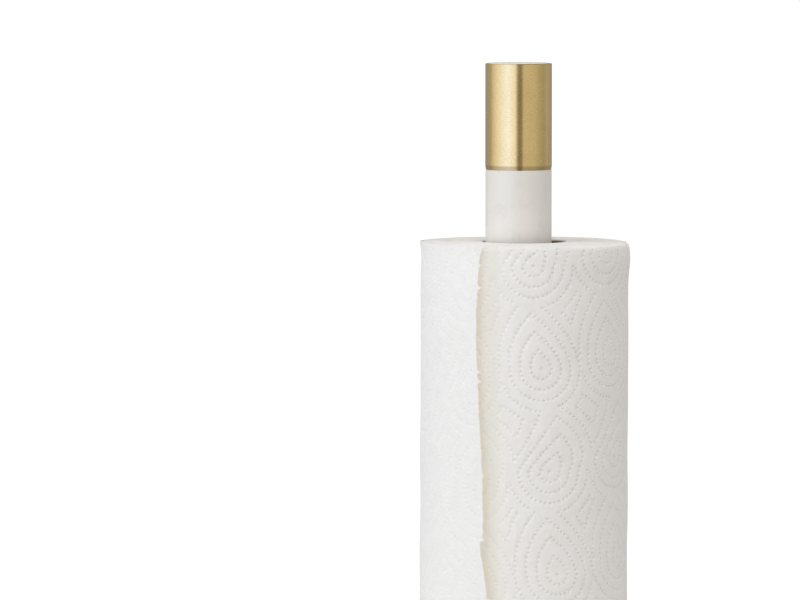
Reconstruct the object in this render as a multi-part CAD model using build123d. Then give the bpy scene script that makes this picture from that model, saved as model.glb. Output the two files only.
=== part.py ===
from build123d import *

import math
import os

# Free-standing kitchen roll holder: a round marble base, a marble post held upright by a threaded rod,
# and a brushed brass cap with a marble disc let into its top. It is loaded with one kitchen roll.
# Frame: +Z up, origin at the centre of the underside of the felt pad, front towards -Y. Millimetres.

# Driving dimensions
POST_DIAMETER = 35.0
NECK_HEIGHT = 38.0  # marble that shows between the roll and the cap
CAP_HEIGHT = 56.0
ROLL_DIAMETER = 110.0
ROLL_HEIGHT = 225.0
CORE_BORE = 43.0
ROLL_SHIFT_X = 2.8  # the loose core leans to one side of the post
BASE_DIAMETER = 160.0
BASE_HEIGHT = 20.0

# Base and felt
FELT_DIAMETER = 150.0
FELT_THICKNESS = 1.6
BASE_TOP_ROUNDING = 2.0
BASE_FOOT_ROUNDING = 0.8
SOCKET_DEPTH = 3.0
SOCKET_DIAMETER = POST_DIAMETER + 0.6
COUNTERBORE_DIAMETER = 32.0
COUNTERBORE_DEPTH = 11.5
STONE_BORE = 12.0  # through the base and the post
EDGE_CHAMFER = 0.3

# M8 tie rod and its hardware
ROD_DIAMETER = 8.0
ROD_THREAD_CHAMFER = 0.6
NUT_ACROSS_FLATS = 13.0
NUT_HEIGHT = 6.5
NUT_CHAMFER = 0.6
THREAD_CLEARANCE = 0.05
WASHER_THICKNESS = 1.6
WASHER_BORE = 8.4
BASE_WASHER_DIAMETER = 24.0
CAP_WASHER_DIAMETER = 20.0
SPRING_WASHER_DIAMETER = 14.0
SPRING_WASHER_THICKNESS = 2.0
SPRING_WASHER_SPLIT = 1.2
SPRING_WASHER_SLANT = 20.0  # degrees
ROD_STAND_OUT = 0.7  # past each nut

# Bushes and gasket
BUSH_BORE = 8.3
BUSH_DIAMETER = STONE_BORE - 0.2
BUSH_LENGTH = 12.0  # length inside the post's bore, at each end
CAP_BUSH_FLANGE = 8.0
GASKET_THICKNESS = 0.8
GASKET_DIAMETER = POST_DIAMETER - 0.6

# Cap
CAP_DIAMETER = POST_DIAMETER + 0.2
CAP_WALL = 2.0
CAP_WEB = 4.0
CAP_WEB_DEPTH = 18.4  # from the cap's rim down to the web
CAP_BEVEL_HEIGHT = 2.0
CAP_BEVEL_DEPTH = 0.3
CAP_RIM_ROUNDING = 0.3
INLAY_THICKNESS = 5.2
INLAY_PAD_THICKNESS = 0.6
INLAY_SEAT_DEPTH = 5.4
INLAY_CLEARANCE = 0.1
INLAY_ROUNDING = 0.35
NUT_POCKET_DIAMETER = 26.0

# Kitchen roll
ROLL_STAND_OFF = 0.2
CORE_PLY = 0.45
CORE_RECESS = 0.6  # the core is cut a little shorter than the paper, at each end
PAPER_CLEARANCE = 0.05
ROLL_EDGE_ROUNDING = 2.2
SHEET_THICKNESS = 0.4
SHEET_FREE_GAP = 2.6  # how far the free edge stands off the roll
SHEET_FREE_ANGLE = 24.0  # degrees left of the front, where the torn edge is
SHEET_LIFT_ANGLE = 84.0  # how far round from the torn edge the sheet starts to lift
SHEET_LENGTH = 250.0  # from the torn edge to the next perforation
SHEET_SEAT_GAP = 0.05
SHEET_STATIONS = 20

# Levels
BASE_BOTTOM = FELT_THICKNESS
BASE_TOP = BASE_BOTTOM + BASE_HEIGHT
SOCKET_FLOOR = BASE_TOP - SOCKET_DEPTH
POST_BOTTOM = SOCKET_FLOOR + GASKET_THICKNESS
ROLL_BOTTOM = BASE_TOP + ROLL_STAND_OFF
ROLL_TOP = ROLL_BOTTOM + ROLL_HEIGHT
POST_TOP = ROLL_TOP + NECK_HEIGHT
CAP_TOP = POST_TOP + CAP_HEIGHT
WEB_TOP = CAP_TOP - CAP_WEB_DEPTH
WEB_BOTTOM = WEB_TOP - CAP_WEB
COUNTERBORE_CEILING = BASE_BOTTOM + COUNTERBORE_DEPTH
BASE_WASHER_BOTTOM = COUNTERBORE_CEILING - WASHER_THICKNESS
BASE_SPRING_WASHER_BOTTOM = BASE_WASHER_BOTTOM - SPRING_WASHER_THICKNESS
BASE_NUT_BOTTOM = BASE_SPRING_WASHER_BOTTOM - NUT_HEIGHT
CAP_SPRING_WASHER_BOTTOM = WEB_TOP + WASHER_THICKNESS
CAP_NUT_BOTTOM = CAP_SPRING_WASHER_BOTTOM + SPRING_WASHER_THICKNESS
ROD_BOTTOM = BASE_NUT_BOTTOM - ROD_STAND_OUT
ROD_TOP = CAP_NUT_BOTTOM + NUT_HEIGHT + ROD_STAND_OUT
INLAY_BOTTOM = CAP_TOP - INLAY_SEAT_DEPTH + INLAY_PAD_THICKNESS
INLAY_DIAMETER = CAP_DIAMETER - 2 * CAP_WALL - 2 * INLAY_CLEARANCE


def cylinder(diameter, bottom, top, x=0.0):
    """A solid cylinder on the Z axis, or on a parallel axis at x, between two levels."""
    solid = Cylinder(diameter / 2, top - bottom, align=(Align.CENTER, Align.CENTER, Align.MIN))
    return Pos(x, 0, bottom) * solid


def ring(outer, bore, bottom, top, x=0.0):
    """A cylinder with a through bore."""
    return cylinder(outer, bottom, top, x) - cylinder(bore, bottom - 1, top + 1, x)


def circles_at(shape, level, diameter):
    """The circular edges of a shape at one level with one diameter."""
    round_edges = shape.edges().filter_by(GeomType.CIRCLE)
    return [
        edge
        for edge in round_edges
        if abs(edge.center(CenterOf.BOUNDING_BOX).Z - level) < 0.01 and abs(edge.radius - diameter / 2) < 0.01
    ]


def base_disc():
    """Marble disc with a socket for the post on top and a counterbore for the nut below."""
    disc = cylinder(BASE_DIAMETER, BASE_BOTTOM, BASE_TOP)
    disc = fillet(circles_at(disc, BASE_TOP, BASE_DIAMETER), BASE_TOP_ROUNDING)
    disc = fillet(circles_at(disc, BASE_BOTTOM, BASE_DIAMETER), BASE_FOOT_ROUNDING)
    disc -= cylinder(SOCKET_DIAMETER, SOCKET_FLOOR, BASE_TOP + 1)
    disc -= cylinder(COUNTERBORE_DIAMETER, BASE_BOTTOM - 1, COUNTERBORE_CEILING)
    disc -= cylinder(STONE_BORE, BASE_BOTTOM - 1, BASE_TOP + 1)
    return chamfer(circles_at(disc, BASE_TOP, SOCKET_DIAMETER), EDGE_CHAMFER)


def felt_pad():
    """Self-adhesive felt under the base, which also closes the nut's counterbore."""
    return cylinder(FELT_DIAMETER, 0, FELT_THICKNESS)


def marble_post():
    """Marble post, bored through for the tie rod."""
    post = ring(POST_DIAMETER, STONE_BORE, POST_BOTTOM, POST_TOP)
    ends = circles_at(post, POST_BOTTOM, POST_DIAMETER) + circles_at(post, POST_TOP, POST_DIAMETER)
    return chamfer(ends, EDGE_CHAMFER)


def brass_cap():
    """Turned brass cap: a tube with a web for the rod, and a stepped recess for the inlay above it."""
    inner = CAP_DIAMETER - 2 * CAP_WALL
    cap = cylinder(CAP_DIAMETER, POST_TOP, CAP_TOP)
    cap = fillet(circles_at(cap, CAP_TOP, CAP_DIAMETER), CAP_RIM_ROUNDING)
    foot = circles_at(cap, POST_TOP, CAP_DIAMETER)
    foot_face = cap.faces().sort_by(Axis.Z)[0]
    cap = chamfer(foot, CAP_BEVEL_DEPTH, CAP_BEVEL_HEIGHT, reference=foot_face)
    cap -= cylinder(inner, POST_TOP - 1, WEB_BOTTOM)
    cap -= cylinder(NUT_POCKET_DIAMETER, WEB_TOP, CAP_TOP + 1)
    cap -= cylinder(inner, CAP_TOP - INLAY_SEAT_DEPTH, CAP_TOP + 1)
    return cap - cylinder(WASHER_BORE, WEB_BOTTOM - 1, WEB_TOP + 1)


def inlay_pad():
    """Adhesive foam disc that holds the inlay on its seat."""
    return cylinder(INLAY_DIAMETER, CAP_TOP - INLAY_SEAT_DEPTH, INLAY_BOTTOM)


def cap_inlay():
    """Marble disc let into the cap, a touch proud of the brass rim."""
    top = INLAY_BOTTOM + INLAY_THICKNESS
    disc = cylinder(INLAY_DIAMETER, INLAY_BOTTOM, top)
    return fillet(circles_at(disc, top, INLAY_DIAMETER), INLAY_ROUNDING)


def tie_rod():
    """M8 rod that clamps cap, post and base together. Its thread is left plain."""
    rod = cylinder(ROD_DIAMETER, ROD_BOTTOM, ROD_TOP)
    ends = circles_at(rod, ROD_BOTTOM, ROD_DIAMETER) + circles_at(rod, ROD_TOP, ROD_DIAMETER)
    return chamfer(ends, ROD_THREAD_CHAMFER)


def hex_nut(bottom):
    """M8 hexagon nut with turned corners."""
    corner_radius = NUT_ACROSS_FLATS / 2 / math.cos(math.pi / 6)
    top = bottom + NUT_HEIGHT
    nut = Pos(0, 0, bottom) * extrude(RegularPolygon(corner_radius, 6), NUT_HEIGHT)
    blank = cylinder(2 * corner_radius, bottom, top)
    corners = circles_at(blank, bottom, 2 * corner_radius) + circles_at(blank, top, 2 * corner_radius)
    nut = nut & chamfer(corners, NUT_CHAMFER)
    return nut - cylinder(ROD_DIAMETER + 2 * THREAD_CLEARANCE, bottom - 1, top + 1)


def washer(diameter, bottom):
    """Plain M8 washer."""
    return ring(diameter, WASHER_BORE, bottom, bottom + WASHER_THICKNESS)


def spring_washer(bottom):
    """Split M8 spring washer, flat as it is when its nut is tight."""
    flat = ring(SPRING_WASHER_DIAMETER, WASHER_BORE, bottom, bottom + SPRING_WASHER_THICKNESS)
    split = Box(SPRING_WASHER_DIAMETER, SPRING_WASHER_SPLIT, 3 * SPRING_WASHER_THICKNESS)
    middle = bottom + SPRING_WASHER_THICKNESS / 2
    return flat - Pos(SPRING_WASHER_DIAMETER / 2, 0, middle) * Rot(SPRING_WASHER_SLANT, 0, 0) * split


def foot_bush():
    """Nylon bush that centres the post and the rod over the base's bore."""
    bottom = COUNTERBORE_CEILING + 0.1
    return ring(BUSH_DIAMETER, BUSH_BORE, bottom, POST_BOTTOM + BUSH_LENGTH)


def cap_bush():
    """Flanged nylon bush that centres the cap on the post's bore."""
    flange = CAP_DIAMETER - 2 * CAP_WALL - 0.2
    body = cylinder(BUSH_DIAMETER, POST_TOP - BUSH_LENGTH, POST_TOP)
    body += cylinder(flange, POST_TOP, POST_TOP + CAP_BUSH_FLANGE)
    return body - cylinder(BUSH_BORE, POST_TOP - BUSH_LENGTH - 1, POST_TOP + CAP_BUSH_FLANGE + 1)


def foot_gasket():
    """Thin foam ring that cushions the post in its socket."""
    return ring(GASKET_DIAMETER, STONE_BORE + 0.2, SOCKET_FLOOR, POST_BOTTOM)


def core_ply(bore):
    """One ply of the roll's cardboard core."""
    bottom, top = ROLL_BOTTOM + CORE_RECESS, ROLL_TOP - CORE_RECESS
    return ring(bore + 2 * CORE_PLY, bore, bottom, top, ROLL_SHIFT_X)


def paper_roll():
    """Wound paper, with its outer edges softened by handling."""
    outer = ROLL_DIAMETER - 2 * SHEET_THICKNESS - 2 * SHEET_SEAT_GAP
    bore = CORE_BORE + 4 * CORE_PLY + 2 * PAPER_CLEARANCE
    paper = cylinder(outer, ROLL_BOTTOM, ROLL_TOP, ROLL_SHIFT_X)
    rims = circles_at(paper, ROLL_BOTTOM, outer) + circles_at(paper, ROLL_TOP, outer)
    paper = fillet(rims, ROLL_EDGE_ROUNDING)
    return paper - cylinder(bore, ROLL_BOTTOM - 1, ROLL_TOP + 1, ROLL_SHIFT_X)


def sheet_point(turned, radius):
    """A plan point on the outer sheet, turned clockwise as seen from above from its torn edge."""
    angle = math.radians(270 - SHEET_FREE_ANGLE - turned)
    return (ROLL_SHIFT_X + radius * math.cos(angle), radius * math.sin(angle))


def sheet_gap(turned):
    """How far the sheet stands off the roll: none where it is still wound, most at the torn edge."""
    lift = max(0.0, 1 - turned / SHEET_LIFT_ANGLE)
    return SHEET_SEAT_GAP + SHEET_FREE_GAP * lift * lift


def outer_sheet():
    """The outermost sheet, wound on the roll and lifting off it towards its torn edge."""
    seat = ROLL_DIAMETER / 2 - SHEET_THICKNESS - SHEET_SEAT_GAP
    wrap = math.degrees(SHEET_LENGTH / (ROLL_DIAMETER / 2))
    turns = [wrap * i / (SHEET_STATIONS - 1) for i in range(SHEET_STATIONS)]
    inner = Spline([sheet_point(t, seat + sheet_gap(t)) for t in turns])
    outer = Spline([sheet_point(t, seat + sheet_gap(t) + SHEET_THICKNESS) for t in reversed(turns)])
    ends = [Line(inner @ 1, outer @ 0), Line(outer @ 1, inner @ 0)]
    outline = make_face([inner, ends[0], outer, ends[1]])
    return Pos(0, 0, ROLL_BOTTOM) * extrude(outline, ROLL_HEIGHT)


PARTS = {
    "base_disc": base_disc(),
    "felt_pad": felt_pad(),
    "marble_post": marble_post(),
    "brass_cap": brass_cap(),
    "inlay_pad": inlay_pad(),
    "cap_inlay": cap_inlay(),
    "tie_rod": tie_rod(),
    "cap_washer": washer(CAP_WASHER_DIAMETER, WEB_TOP),
    "cap_spring_washer": spring_washer(CAP_SPRING_WASHER_BOTTOM),
    "cap_nut": hex_nut(CAP_NUT_BOTTOM),
    "base_washer": washer(BASE_WASHER_DIAMETER, BASE_WASHER_BOTTOM),
    "base_spring_washer": spring_washer(BASE_SPRING_WASHER_BOTTOM),
    "base_nut": hex_nut(BASE_NUT_BOTTOM),
    "foot_bush": foot_bush(),
    "cap_bush": cap_bush(),
    "foot_gasket": foot_gasket(),
    "core_inner_ply": core_ply(CORE_BORE),
    "core_outer_ply": core_ply(CORE_BORE + 2 * CORE_PLY),
    "paper_roll": paper_roll(),
    "outer_sheet": outer_sheet(),
}

os.makedirs("parts", exist_ok=True)
for name, shape in PARTS.items():
    export_step(shape, f"parts/{name}.step")
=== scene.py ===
import logging
import math
from dataclasses import dataclass
from enum import Enum
from typing import Any, Iterable, Union

import bmesh
import bpy
import numpy as np
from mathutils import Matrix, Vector, geometry, kdtree


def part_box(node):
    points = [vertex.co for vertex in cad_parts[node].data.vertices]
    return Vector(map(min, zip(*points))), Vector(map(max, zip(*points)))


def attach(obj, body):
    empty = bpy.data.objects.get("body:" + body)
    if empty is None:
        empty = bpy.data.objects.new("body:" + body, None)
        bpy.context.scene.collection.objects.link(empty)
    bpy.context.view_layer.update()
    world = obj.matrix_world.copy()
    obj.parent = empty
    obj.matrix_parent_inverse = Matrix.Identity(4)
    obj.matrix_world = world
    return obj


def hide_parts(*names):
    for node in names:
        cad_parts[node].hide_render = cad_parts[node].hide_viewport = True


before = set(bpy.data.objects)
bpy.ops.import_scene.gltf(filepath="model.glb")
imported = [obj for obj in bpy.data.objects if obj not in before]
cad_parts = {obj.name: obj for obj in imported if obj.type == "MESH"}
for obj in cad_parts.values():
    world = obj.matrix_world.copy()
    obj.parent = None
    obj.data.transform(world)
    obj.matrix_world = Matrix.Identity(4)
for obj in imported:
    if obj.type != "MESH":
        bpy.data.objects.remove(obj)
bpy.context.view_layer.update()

LOG = logging.getLogger("roll_holder")
MM = 0.001
TURN = 2 * math.pi
WEB_PLACE = "web_place"

Value = Union["Wire", float]
Colour = tuple[float, float, float]


# Shader writing


class Wire:
    """A value in a node tree. Arithmetic on it adds Math nodes to the tree."""

    def __init__(self, nodes: "Nodes", socket: bpy.types.NodeSocket) -> None:
        """Wraps one output socket."""
        self.nodes = nodes
        self.socket = socket

    def math(self, operation: str, *values: Value) -> "Wire":
        """Adds one Math node.

        Args:
            operation: The Math node's operation.
            values: Its inputs in order, as wires or numbers.

        Returns:
            The node's value.
        """
        return self.nodes.node("ShaderNodeMath", {"operation": operation}, dict(enumerate(values)))

    def __add__(self, other: Value) -> "Wire":
        """Sum."""
        return self.math("ADD", self, other)

    __radd__ = __add__

    def __sub__(self, other: Value) -> "Wire":
        """Difference."""
        return self.math("SUBTRACT", self, other)

    def __rsub__(self, other: Value) -> "Wire":
        """Difference from a number."""
        return self.math("SUBTRACT", other, self)

    def __mul__(self, other: Value) -> "Wire":
        """Product."""
        return self.math("MULTIPLY", self, other)

    __rmul__ = __mul__

    def __truediv__(self, other: Value) -> "Wire":
        """Quotient."""
        return self.math("DIVIDE", self, other)

    def __pow__(self, other: Value) -> "Wire":
        """Power."""
        return self.math("POWER", self, other)

    def __abs__(self) -> "Wire":
        """Size without sign."""
        return self.math("ABSOLUTE", self)

    def ease(self, low: float, high: float) -> "Wire":
        """Eases from 0 at low to 1 at high, and holds outside.

        Args:
            low: Where the rise starts.
            high: Where it ends. It may be below low, for a fall.

        Returns:
            A value from 0 to 1.
        """
        settings = {"interpolation_type": "SMOOTHSTEP"}
        if low <= high:
            return self.nodes.node("ShaderNodeMapRange", settings, {0: self, 1: low, 2: high})
        return 1 - self.ease(high, low)


class Nodes:
    """A node tree under construction."""

    def __init__(self, tree: bpy.types.NodeTree) -> None:
        """Takes a node tree and empties it."""
        self.tree = tree
        self.tree.nodes.clear()

    def node(
        self,
        kind: str,
        settings: dict[str, Any] | None = None,
        inputs: dict[Any, Any] | None = None,
        output: str | int | None = 0,
    ) -> Wire | None:
        """Adds any node.

        Args:
            kind: The node's type name.
            settings: Properties set before the sockets. "stops" fills a colour ramp.
            inputs: Socket names or numbers, with the wires or values that go in.
            output: The name or number of the socket to return, if it has any.

        Returns:
            The chosen output.
        """
        made = self.tree.nodes.new(kind)
        for name, value in (settings or {}).items():
            if name == "stops":
                self._fill_ramp(made.color_ramp, value)
            else:
                setattr(made, name, value)
        for name, value in (inputs or {}).items():
            self.join(made.inputs[name], value)
        return None if output is None else Wire(self, made.outputs[output])

    def join(self, socket: bpy.types.NodeSocket, value: Any) -> None:
        """Links a wire to a socket, or sets the socket's own value.

        Args:
            socket: The input to feed.
            value: A wire, a number, a colour or a vector.
        """
        if isinstance(value, Wire):
            self.tree.links.new(value.socket, socket)
        elif isinstance(value, tuple) and len(value) == 3 and socket.type == "RGBA":
            socket.default_value = (*value, 1.0)
        else:
            socket.default_value = value

    @staticmethod
    def _fill_ramp(ramp: bpy.types.ColorRamp, stops: list[tuple[float, Colour]]) -> None:
        """Gives a colour ramp its stops.

        Args:
            ramp: The ramp to fill.
            stops: Places from 0 to 1 with their colours.
        """
        while len(ramp.elements) < len(stops):
            ramp.elements.new(0.5)
        for element, (place, colour) in zip(ramp.elements, stops, strict=True):
            element.position = place
            element.color = (*colour, 1.0)

    def place(self) -> Wire:
        """The point in the holder's own frame, in metres."""
        return self.node("ShaderNodeTexCoord", output="Object")

    def web_place(self) -> Wire:
        """The point's place on the flat paper web, in millimetres."""
        return self.node("ShaderNodeAttribute", {"attribute_name": WEB_PLACE}, output="Vector")

    def stretch(self, vector: Wire, scale: tuple[float, float, float]) -> Wire:
        """Scales a vector by axis."""
        return self.node("ShaderNodeVectorMath", {"operation": "MULTIPLY"}, {0: vector, 1: scale})

    def parts(self, vector: Wire) -> list[Wire]:
        """Splits a vector into its three values."""
        split = self.node("ShaderNodeSeparateXYZ", None, {0: vector})
        return [Wire(self, output) for output in split.socket.node.outputs]

    def vector(self, x: Value, y: Value, z: Value = 0.0) -> Wire:
        """Joins three values into a vector."""
        return self.node("ShaderNodeCombineXYZ", None, {0: x, 1: y, 2: z})

    def noise(self, vector: Wire, scale: float, detail: float = 2.0, rough: float = 0.5) -> Wire:
        """Soft noise from 0 to 1.

        Args:
            vector: Where it is read.
            scale: Cells for each unit of the vector.
            detail: Octaves.
            rough: How strong the finer octaves are.

        Returns:
            The noise value.
        """
        inputs = {"Vector": vector, "Scale": scale, "Detail": detail, "Roughness": rough}
        return self.node("ShaderNodeTexNoise", None, inputs)

    def blend(self, factor: Value, first: Any, second: Any) -> Wire:
        """Mixes two colours.

        Args:
            factor: 0 gives the first colour and 1 the second.
            first: Colour or wire.
            second: Colour or wire.

        Returns:
            The mixed colour.
        """
        inputs = {0: factor, 6: first, 7: second}
        return self.node("ShaderNodeMix", {"data_type": "RGBA"}, inputs, output=2)

    def bump(self, height: Wire, depth: float) -> Wire:
        """Turns a height from 0 to 1, where 1 stands for a depth in metres, into a bumped normal."""
        return self.node("ShaderNodeBump", None, {"Height": height, "Distance": depth, "Strength": 1.0})

    def around(self, centre_x: float = 0.0) -> tuple[Wire, Wire, Wire]:
        """Cylinder coordinates about an upright axis.

        Args:
            centre_x: The axis's X, in metres.

        Returns:
            Angle in radians, distance from the axis and height, both in metres.
        """
        x, y, z = self.parts(self.place())
        x = x - centre_x
        return x.math("ARCTAN2", y, x), (x * x + y * y) ** 0.5, z


class Shader(Nodes):
    """One material under construction around a Principled surface."""

    def __init__(self, name: str) -> None:
        """Starts a material with one Principled shader.

        Args:
            name: The material's name.
        """
        self.material = bpy.data.materials.new(name)
        self.material.use_nodes = True
        super().__init__(self.material.node_tree)
        self.surface = self.tree.nodes.new("ShaderNodeBsdfPrincipled")
        self.output = self.tree.nodes.new("ShaderNodeOutputMaterial")
        self.tree.links.new(self.surface.outputs[0], self.output.inputs["Surface"])

    def set(self, **values: Any) -> None:
        """Sets or links the Principled shader's sockets, with underscores for spaces."""
        for name, value in values.items():
            self.join(self.surface.inputs[name.replace("_", " ").title().replace("Ior", "IOR")], value)

    def let_through(self, share: float, colour: Colour) -> None:
        """Lets a share of the light that falls on each face go on through it.

        Args:
            share: How much of the light goes on, from 0 to 1.
            colour: The tint it takes.
        """
        through = self.node("ShaderNodeBsdfTransparent", None, {"Color": colour})
        principled = Wire(self, self.surface.outputs[0])
        lamps = self.node("ShaderNodeLightPath", output="Is Shadow Ray")
        bounced = self.node("ShaderNodeLightPath", output="Is Diffuse Ray")
        factor = lamps.math("MAXIMUM", lamps, bounced) * share
        mixed = self.node("ShaderNodeMixShader", None, {0: factor, 1: principled, 2: through})
        self.join(self.output.inputs["Surface"], mixed)


# Finishes


class Finish:
    """A surface finish, whose paint method writes its shader."""

    name: str

    def material(self) -> bpy.types.Material:
        """Builds the material.

        Returns:
            The finished material.
        """
        s = Shader(self.name)
        self.paint(s)
        return s.material

    def paint(self, s: Shader) -> None:
        """Writes the shader."""
        raise NotImplementedError


@dataclass(frozen=True)
class Marble(Finish):
    """Honed white marble: milky, with soft clouds and a few faint hair-thin veins."""

    name: str = "white_marble"
    pale: Colour = (0.775, 0.75, 0.705)
    cloud: Colour = (0.744, 0.716, 0.66)
    vein: Colour = (0.62, 0.595, 0.555)
    cloud_scale: float = 26.0
    crystal_scale: float = 900.0
    vein_scale: float = 9.0
    vein_width: float = 0.022
    vein_share: float = 0.35
    roughness: float = 0.42
    relief: float = 0.000012

    def paint(self, s: Shader) -> None:
        """Writes the shader.

        Args:
            s: The shader to write.
        """
        place = s.place()
        patches = s.noise(place, self.vein_scale, 4.0, 0.6).ease(0.48, 0.66)
        clouds = s.noise(place, self.cloud_scale, 5.0, 0.62).ease(0.35, 0.75)
        crystals = s.noise(place, self.crystal_scale, 2.0, 0.7)
        upright = s.stretch(place, (1.0, 1.0, 0.55))
        ridge = abs(s.noise(upright, self.vein_scale * 1.4, 5.0, 0.65) - 0.5)
        vein = ridge.ease(self.vein_width, 0.0) * patches
        colour = s.blend(clouds * 0.55 + crystals * 0.12, self.pale, self.cloud)
        colour = s.blend(vein * self.vein_share, colour, self.vein)
        s.set(base_color=colour, roughness=self.roughness + 0.10 * clouds - 0.05 * crystals)
        s.set(normal=s.bump(crystals, self.relief), specular_ior_level=0.6)


@dataclass(frozen=True)
class BrushedBrass(Finish):
    """Satin brass, brushed round the cap in short strokes, with a fine random grain and a darker lip."""

    radius: float
    lip_top: float
    name: str = "brushed_brass"
    bright: Colour = (0.83, 0.60, 0.27)
    dull: Colour = (0.72, 0.50, 0.21)
    lip: Colour = (0.42, 0.28, 0.09)
    lip_blur: float = 0.0005
    lip_share: float = 0.3
    stroke_length: float = 0.0017
    stroke_width: float = 0.00042
    grain_scale: float = 2600.0
    tarnish_scale: float = 90.0
    roughness: float = 0.15
    relief: float = 0.000008

    def paint(self, s: Shader) -> None:
        """Writes the shader.

        Args:
            s: The shader to write.
        """
        angle, away, height = s.around()
        along = angle * self.radius / self.stroke_length
        strokes = s.noise(s.vector(along, height / self.stroke_width, away * 400.0), 1.0, 3.0, 0.6)
        grain = s.noise(s.place(), self.grain_scale, 3.0, 0.7)
        tarnish = s.noise(s.place(), self.tarnish_scale, 4.0, 0.6)
        shade = (strokes * 0.45 + grain * 0.35 + tarnish * 0.2).ease(0.42, 0.58)
        lip = height.ease(self.lip_top, self.lip_top - self.lip_blur) * self.lip_share
        s.set(base_color=s.blend(lip, s.blend(shade, self.dull, self.bright), self.lip), metallic=1.0)
        s.set(roughness=self.roughness + 0.10 * strokes + 0.06 * tarnish)
        s.set(anisotropic=0.5, anisotropic_rotation=0.25)
        s.set(normal=s.bump(strokes * 0.6 + grain * 0.4, self.relief))


@dataclass(frozen=True)
class Felt(Finish):
    """Dense grey wool felt."""

    name: str = "grey_felt"
    light: Colour = (0.20, 0.20, 0.205)
    dark: Colour = (0.09, 0.09, 0.095)
    fibre_scale: float = 1400.0
    matting_scale: float = 220.0
    relief: float = 0.0004

    def paint(self, s: Shader) -> None:
        """Writes the shader.

        Args:
            s: The shader to write.
        """
        fibres = s.noise(s.stretch(s.place(), (1.0, 1.0, 2.0)), self.fibre_scale, 5.0, 0.75)
        matting = s.noise(s.place(), self.matting_scale, 3.0, 0.6)
        mixed = fibres * 0.7 + matting * 0.3
        s.set(base_color=s.blend(mixed.ease(0.35, 0.65), self.dark, self.light), roughness=0.95)
        s.set(normal=s.bump(mixed, self.relief), sheen_weight=0.3, specular_ior_level=0.1)


@dataclass(frozen=True)
class ZincSteel(Finish):
    """Bright zinc-plated steel of fasteners, slightly blue and clouded."""

    name: str = "zinc_steel"
    bright: Colour = (0.62, 0.64, 0.67)
    dull: Colour = (0.42, 0.42, 0.40)
    cloud_scale: float = 320.0
    turning_scale: float = 9000.0
    relief: float = 0.00001

    def paint(self, s: Shader) -> None:
        """Writes the shader.

        Args:
            s: The shader to write.
        """
        _, away, height = s.around()
        clouds = s.noise(s.place(), self.cloud_scale, 4.0, 0.65)
        turned = s.noise(s.vector(away, 0.0, height), self.turning_scale, 2.0, 0.6)
        s.set(base_color=s.blend(clouds.ease(0.3, 0.75), self.bright, self.dull), metallic=0.95)
        s.set(roughness=0.26 + 0.22 * clouds, normal=s.bump(turned * 0.6 + clouds * 0.4, self.relief))


@dataclass(frozen=True)
class Nylon(Finish):
    """Natural machined nylon."""

    name: str = "nylon"
    pale: Colour = (0.74, 0.72, 0.66)
    warm: Colour = (0.66, 0.62, 0.53)
    cloud_scale: float = 160.0
    relief: float = 0.00002

    def paint(self, s: Shader) -> None:
        """Writes the shader.

        Args:
            s: The shader to write.
        """
        angle, away, height = s.around()
        lines = s.noise(s.vector(angle * 0.2, away * 400.0, height * 5200.0), 1.0, 2.0, 0.5)
        clouds = s.noise(s.place(), self.cloud_scale, 3.0, 0.5)
        s.set(base_color=s.blend(clouds, self.pale, self.warm), roughness=0.45 + 0.15 * lines)
        s.set(normal=s.bump(lines, self.relief))


@dataclass(frozen=True)
class FoamRubber(Finish):
    """Black closed-cell foam with an open, pitted cut face."""

    name: str = "foam_rubber"
    skin: Colour = (0.035, 0.035, 0.037)
    pit: Colour = (0.012, 0.012, 0.012)
    cell_scale: float = 2400.0
    relief: float = 0.0001

    def paint(self, s: Shader) -> None:
        """Writes the shader.

        Args:
            s: The shader to write.
        """
        inputs = {"Vector": s.place(), "Scale": self.cell_scale}
        cells = s.node("ShaderNodeTexVoronoi", None, inputs, output="Distance")
        s.set(base_color=s.blend(cells.ease(0.6, 0.1), self.skin, self.pit), roughness=0.8)
        s.set(normal=s.bump(cells, self.relief))


@dataclass(frozen=True)
class CoreBoard(Finish):
    """Grey-brown recycled board, with fibres along the wound strip."""

    centre_x: float
    radius: float
    name: str = "core_board"
    pale: Colour = (0.31, 0.22, 0.145)
    dark: Colour = (0.17, 0.115, 0.07)
    strip_lead: float = 0.09
    fibre_length: float = 0.002
    fibre_width: float = 1 / 2600
    fleck_scale: float = 1100.0
    cloud_scale: float = 70.0
    relief: float = 0.00006

    def paint(self, s: Shader) -> None:
        """Writes the shader.

        Args:
            s: The shader to write.
        """
        angle, away, height = s.around(self.centre_x)
        across = (height - angle * (self.strip_lead / TURN)) / self.fibre_width
        along = (angle * self.radius + height * 0.7) / self.fibre_length
        fibres = s.noise(s.vector(along, across, away / self.fibre_width), 1.0, 4.0, 0.7)
        flecks = s.noise(s.place(), self.fleck_scale, 2.0, 0.5).ease(0.62, 0.72)
        clouds = s.noise(s.place(), self.cloud_scale, 3.0, 0.6)
        colour = s.blend((fibres * 0.6 + clouds * 0.4).ease(0.3, 0.7), self.dark, self.pale)
        s.set(base_color=s.blend(flecks * 0.5, colour, self.dark), roughness=0.88)
        s.set(normal=s.bump(fibres, self.relief), specular_ior_level=0.2)


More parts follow.
